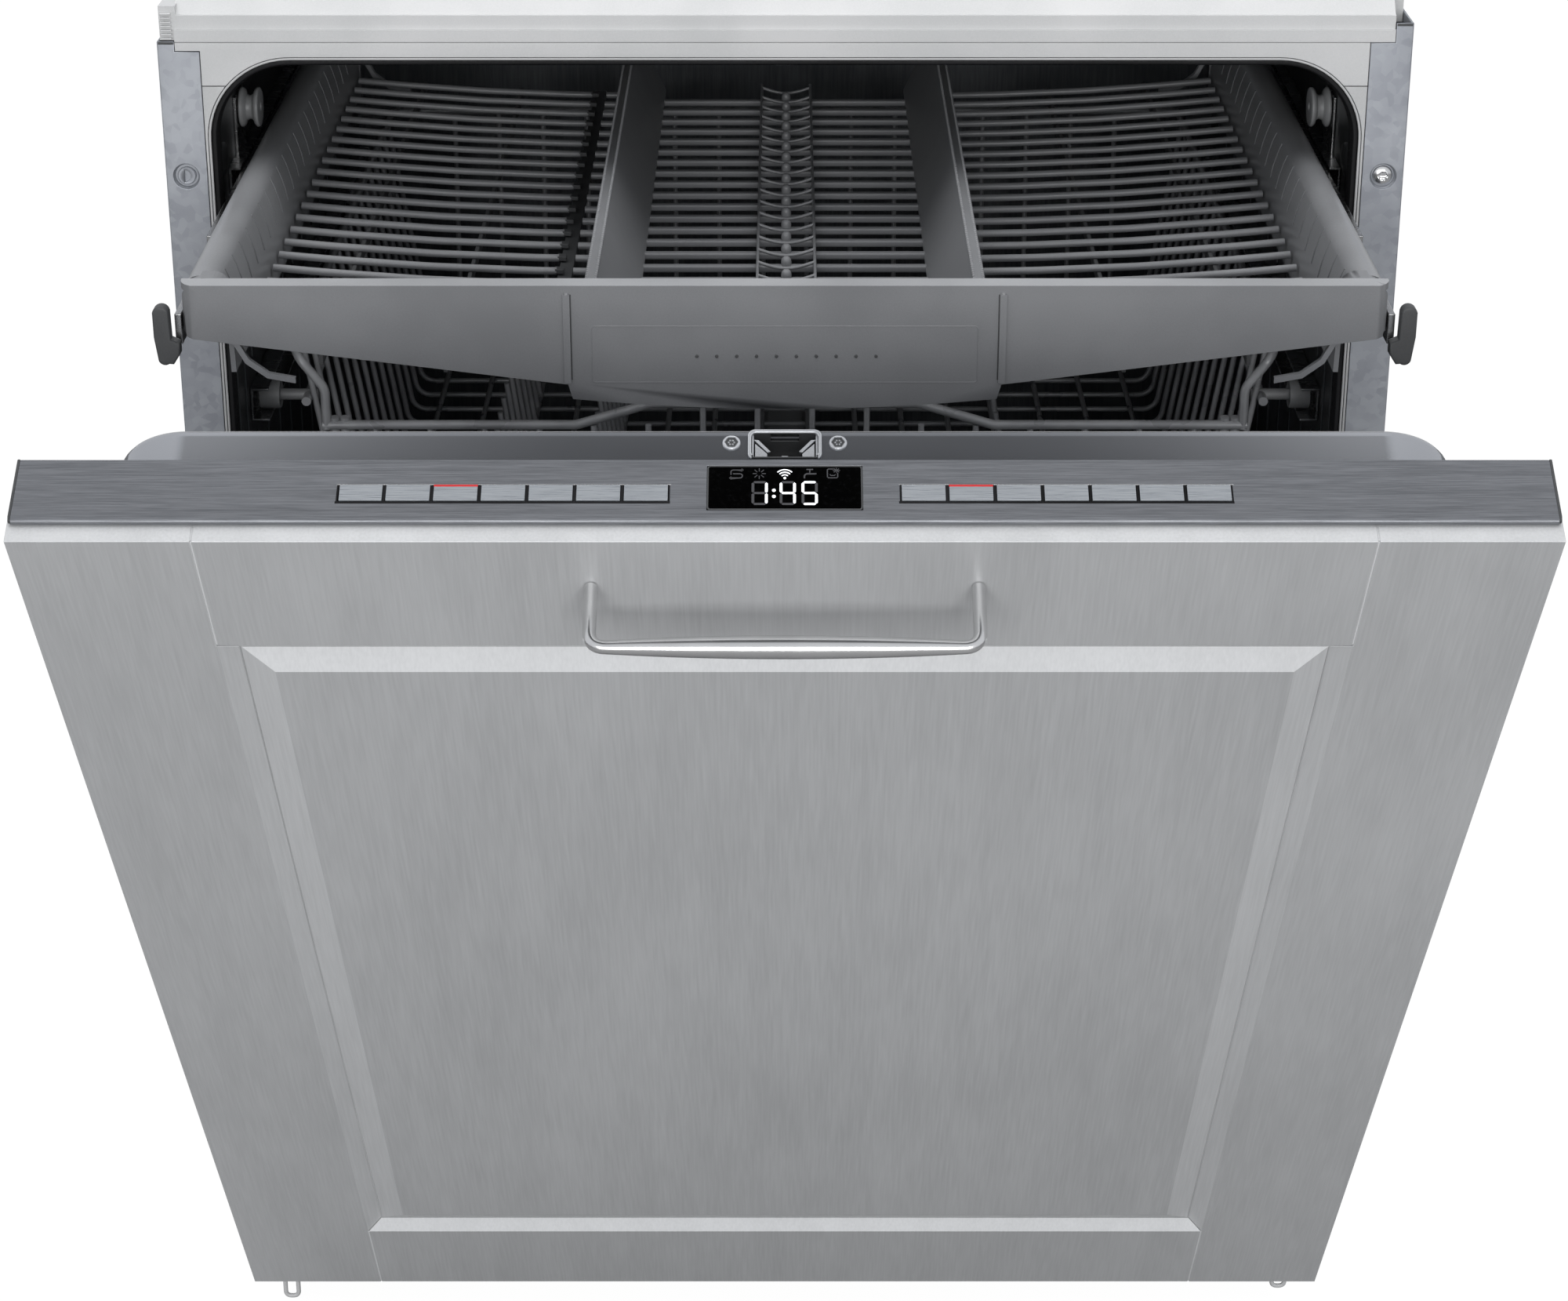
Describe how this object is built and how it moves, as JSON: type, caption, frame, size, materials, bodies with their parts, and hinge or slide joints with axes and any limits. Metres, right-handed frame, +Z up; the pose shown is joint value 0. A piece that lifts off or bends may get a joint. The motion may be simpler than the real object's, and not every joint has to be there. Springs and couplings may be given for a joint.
{
  "type": "built-in dishwasher",
  "caption": "Front-loading built-in dishwasher with a framed cabinet-style door, control strip on the door's top edge, pull-out cutlery tray, wire racks and spray arms.",
  "frame": {"origin": "on the floor, in the middle of the bounding box as it stands with the door part open", "axes": "+Z up, -Y towards the user (the way the door opens), +X to the user's right"},
  "size_m": [0.598, 0.9236, 0.815],
  "materials": {
    "galvanised": "zinc-coated sheet steel with a faint spangle",
    "white_plastic": "off-white moulded plastic",
    "tub_steel": "pressed stainless steel, dark inside",
    "brushed_steel": "dark horizontal brushed finish",
    "panel": "board with a light grey metallic facing, fine vertical grain",
    "chrome": "bright polished",
    "tray_plastic": "dark grey moulded plastic, satin",
    "coated_wire": "grey plastic-coated steel wire",
    "grey_plastic": "mid grey moulded plastic",
    "dark_plastic": "dark grey moulded plastic",
    "seal_rubber": "black rubber",
    "display_glass": "black gloss",
    "key_metal": "silver satin"
  },
  "bodies": {
    "chassis": {"base_tray": "dark_plastic", "toe_plate": "white_plastic", "side_panel_left": "galvanised", "side_panel_right": "galvanised", "tub": "tub_steel", "tub_seal": "seal_rubber", "front_frame": "white_plastic", "top_cover": "white_plastic", "door_striker": "galvanised", "hinge_bracket_left": "galvanised", "hinge_bracket_right": "galvanised", "tray_rail_left": "chrome", "tray_rail_right": "chrome", "upper_rail_left": "chrome", "upper_rail_right": "chrome", "water_duct": "grey_plastic", "sump_pump": "dark_plastic"},
    "door": {"panel_stile_left": "panel", "panel_stile_right": "panel", "panel_rail_top": "panel", "panel_rail_bottom": "panel", "panel_field": "panel", "door_frame": "galvanised", "door_liner": "tub_steel", "control_fascia": "brushed_steel", "display_window": "display_glass", "door_latch": "chrome", "handle": "chrome", "dispenser_body": "grey_plastic"},
    "dispenser_lid": {"dispenser_lid": "grey_plastic"},
    "top_tray": {"top_tray": "tray_plastic", "tray_runner_left": "dark_plastic", "tray_runner_right": "dark_plastic"},
    "tray_slides": {"tray_slide_left": "chrome", "tray_slide_right": "chrome"},
    "upper_rack": {"upper_rack": "coated_wire"},
    "upper_spray_arm": {"upper_spray_arm": "grey_plastic"},
    "lower_rack": {"lower_rack": "coated_wire"},
    "lower_spray_arm": {"lower_spray_arm": "grey_plastic"},
    "filter_cylinder": {"filter_cylinder": "grey_plastic"},
    "guide_roller_left": {"guide_roller_left": "grey_plastic"},
    "guide_roller_right": {"guide_roller_right": "grey_plastic"},
    "foot_front_left": {"foot_front_left": "dark_plastic"},
    "foot_front_right": {"foot_front_right": "dark_plastic"},
    "foot_back_left": {"foot_back_left": "dark_plastic"},
    "foot_back_right": {"foot_back_right": "dark_plastic"},
    "key_left_1": {"key_left_1": "key_metal"},
    "key_left_2": {"key_left_2": "key_metal"},
    "key_left_3": {"key_left_3": "key_metal"},
    "key_left_4": {"key_left_4": "key_metal"},
    "key_left_5": {"key_left_5": "key_metal"},
    "key_left_6": {"key_left_6": "key_metal"},
    "key_left_7": {"key_left_7": "key_metal"},
    "key_right_1": {"key_right_1": "key_metal"},
    "key_right_2": {"key_right_2": "key_metal"},
    "key_right_3": {"key_right_3": "key_metal"},
    "key_right_4": {"key_right_4": "key_metal"},
    "key_right_5": {"key_right_5": "key_metal"},
    "key_right_6": {"key_right_6": "key_metal"},
    "key_right_7": {"key_right_7": "key_metal"}
  },
  "joints": [
    {"name": "door_hinge", "type": "hinge", "parent": "chassis", "child": "door", "pos_m": [0, -0.10397, 0.179], "axis": [1, 0, 0], "range_deg": [-31.5, 58.5]},
    {"name": "top_tray_slide", "type": "slide", "parent": "chassis", "child": "top_tray", "axis": [0, -1, 0], "range_m": [-0.2061, 0.3827]},
    {"name": "tray_slides_slide", "type": "slide", "parent": "chassis", "child": "tray_slides", "axis": [0, -1, 0], "range_m": [-0.10305, 0.19135]},
    {"name": "upper_rack_slide", "type": "slide", "parent": "chassis", "child": "upper_rack", "axis": [0, -1, 0], "range_m": [0, 0.15]},
    {"name": "upper_arm_spin", "type": "hinge", "parent": "upper_rack", "child": "upper_spray_arm", "pos_m": [0, 0.17683, 0.4485], "axis": [0, 0, 1], "continuous": true},
    {"name": "lower_rack_slide", "type": "slide", "parent": "chassis", "child": "lower_rack", "axis": [0, -1, 0], "range_m": [0, 0.035]},
    {"name": "lower_arm_spin", "type": "hinge", "parent": "chassis", "child": "lower_spray_arm", "pos_m": [0, 0.17683, 0.2025], "axis": [0, 0, 1], "continuous": true},
    {"name": "filter_twist", "type": "hinge", "parent": "chassis", "child": "filter_cylinder", "pos_m": [0.084, 0.08183, 0.16], "axis": [0, 0, 1], "range_deg": [0, 90]},
    {"name": "guide_roller_left_spin", "type": "hinge", "parent": "chassis", "child": "guide_roller_left", "pos_m": [-0.2695, -0.01017, 0.7425], "axis": [1, 0, 0], "continuous": true},
    {"name": "guide_roller_right_spin", "type": "hinge", "parent": "chassis", "child": "guide_roller_right", "pos_m": [0.2695, -0.01017, 0.7425], "axis": [1, 0, 0], "continuous": true},
    {"name": "dispenser_lid_slide", "type": "slide", "parent": "door", "child": "dispenser_lid", "axis": [0, -0.5225, 0.8526], "range_m": [0, 0.095]},
    {"name": "foot_front_left_adjust", "type": "slide", "parent": "chassis", "child": "foot_front_left", "axis": [0, 0, 1], "range_m": [-0.05, 0]},
    {"name": "foot_front_right_adjust", "type": "slide", "parent": "chassis", "child": "foot_front_right", "axis": [0, 0, 1], "range_m": [-0.05, 0]},
    {"name": "foot_back_left_adjust", "type": "slide", "parent": "chassis", "child": "foot_back_left", "axis": [0, 0, 1], "range_m": [-0.05, 0]},
    {"name": "foot_back_right_adjust", "type": "slide", "parent": "chassis", "child": "foot_back_right", "axis": [0, 0, 1], "range_m": [-0.05, 0]},
    {"name": "key_left_1_press", "type": "slide", "parent": "door", "child": "key_left_1", "axis": [0, 0.5225, -0.8526], "range_m": [0, 0.0012], "stiffness_N_per_m": 300, "springref_m": -0.002},
    {"name": "key_left_2_press", "type": "slide", "parent": "door", "child": "key_left_2", "axis": [0, 0.5225, -0.8526], "range_m": [0, 0.0012], "stiffness_N_per_m": 300, "springref_m": -0.002},
    {"name": "key_left_3_press", "type": "slide", "parent": "door", "child": "key_left_3", "axis": [0, 0.5225, -0.8526], "range_m": [0, 0.0012], "stiffness_N_per_m": 300, "springref_m": -0.002},
    {"name": "key_left_4_press", "type": "slide", "parent": "door", "child": "key_left_4", "axis": [0, 0.5225, -0.8526], "range_m": [0, 0.0012], "stiffness_N_per_m": 300, "springref_m": -0.002},
    {"name": "key_left_5_press", "type": "slide", "parent": "door", "child": "key_left_5", "axis": [0, 0.5225, -0.8526], "range_m": [0, 0.0012], "stiffness_N_per_m": 300, "springref_m": -0.002},
    {"name": "key_left_6_press", "type": "slide", "parent": "door", "child": "key_left_6", "axis": [0, 0.5225, -0.8526], "range_m": [0, 0.0012], "stiffness_N_per_m": 300, "springref_m": -0.002},
    {"name": "key_left_7_press", "type": "slide", "parent": "door", "child": "key_left_7", "axis": [0, 0.5225, -0.8526], "range_m": [0, 0.0012], "stiffness_N_per_m": 300, "springref_m": -0.002},
    {"name": "key_right_1_press", "type": "slide", "parent": "door", "child": "key_right_1", "axis": [0, 0.5225, -0.8526], "range_m": [0, 0.0012], "stiffness_N_per_m": 300, "springref_m": -0.002},
    {"name": "key_right_2_press", "type": "slide", "parent": "door", "child": "key_right_2", "axis": [0, 0.5225, -0.8526], "range_m": [0, 0.0012], "stiffness_N_per_m": 300, "springref_m": -0.002},
    {"name": "key_right_3_press", "type": "slide", "parent": "door", "child": "key_right_3", "axis": [0, 0.5225, -0.8526], "range_m": [0, 0.0012], "stiffness_N_per_m": 300, "springref_m": -0.002},
    {"name": "key_right_4_press", "type": "slide", "parent": "door", "child": "key_right_4", "axis": [0, 0.5225, -0.8526], "range_m": [0, 0.0012], "stiffness_N_per_m": 300, "springref_m": -0.002},
    {"name": "key_right_5_press", "type": "slide", "parent": "door", "child": "key_right_5", "axis": [0, 0.5225, -0.8526], "range_m": [0, 0.0012], "stiffness_N_per_m": 300, "springref_m": -0.002},
    {"name": "key_right_6_press", "type": "slide", "parent": "door", "child": "key_right_6", "axis": [0, 0.5225, -0.8526], "range_m": [0, 0.0012], "stiffness_N_per_m": 300, "springref_m": -0.002},
    {"name": "key_right_7_press", "type": "slide", "parent": "door", "child": "key_right_7", "axis": [0, 0.5225, -0.8526], "range_m": [0, 0.0012], "stiffness_N_per_m": 300, "springref_m": -0.002}
  ],
  "couplings": [
    {"joint": "top_tray_slide", "follows": "door_hinge", "m_per_rad": 0.3747},
    {"joint": "tray_slides_slide", "follows": "door_hinge", "m_per_rad": 0.18735}
  ]
}
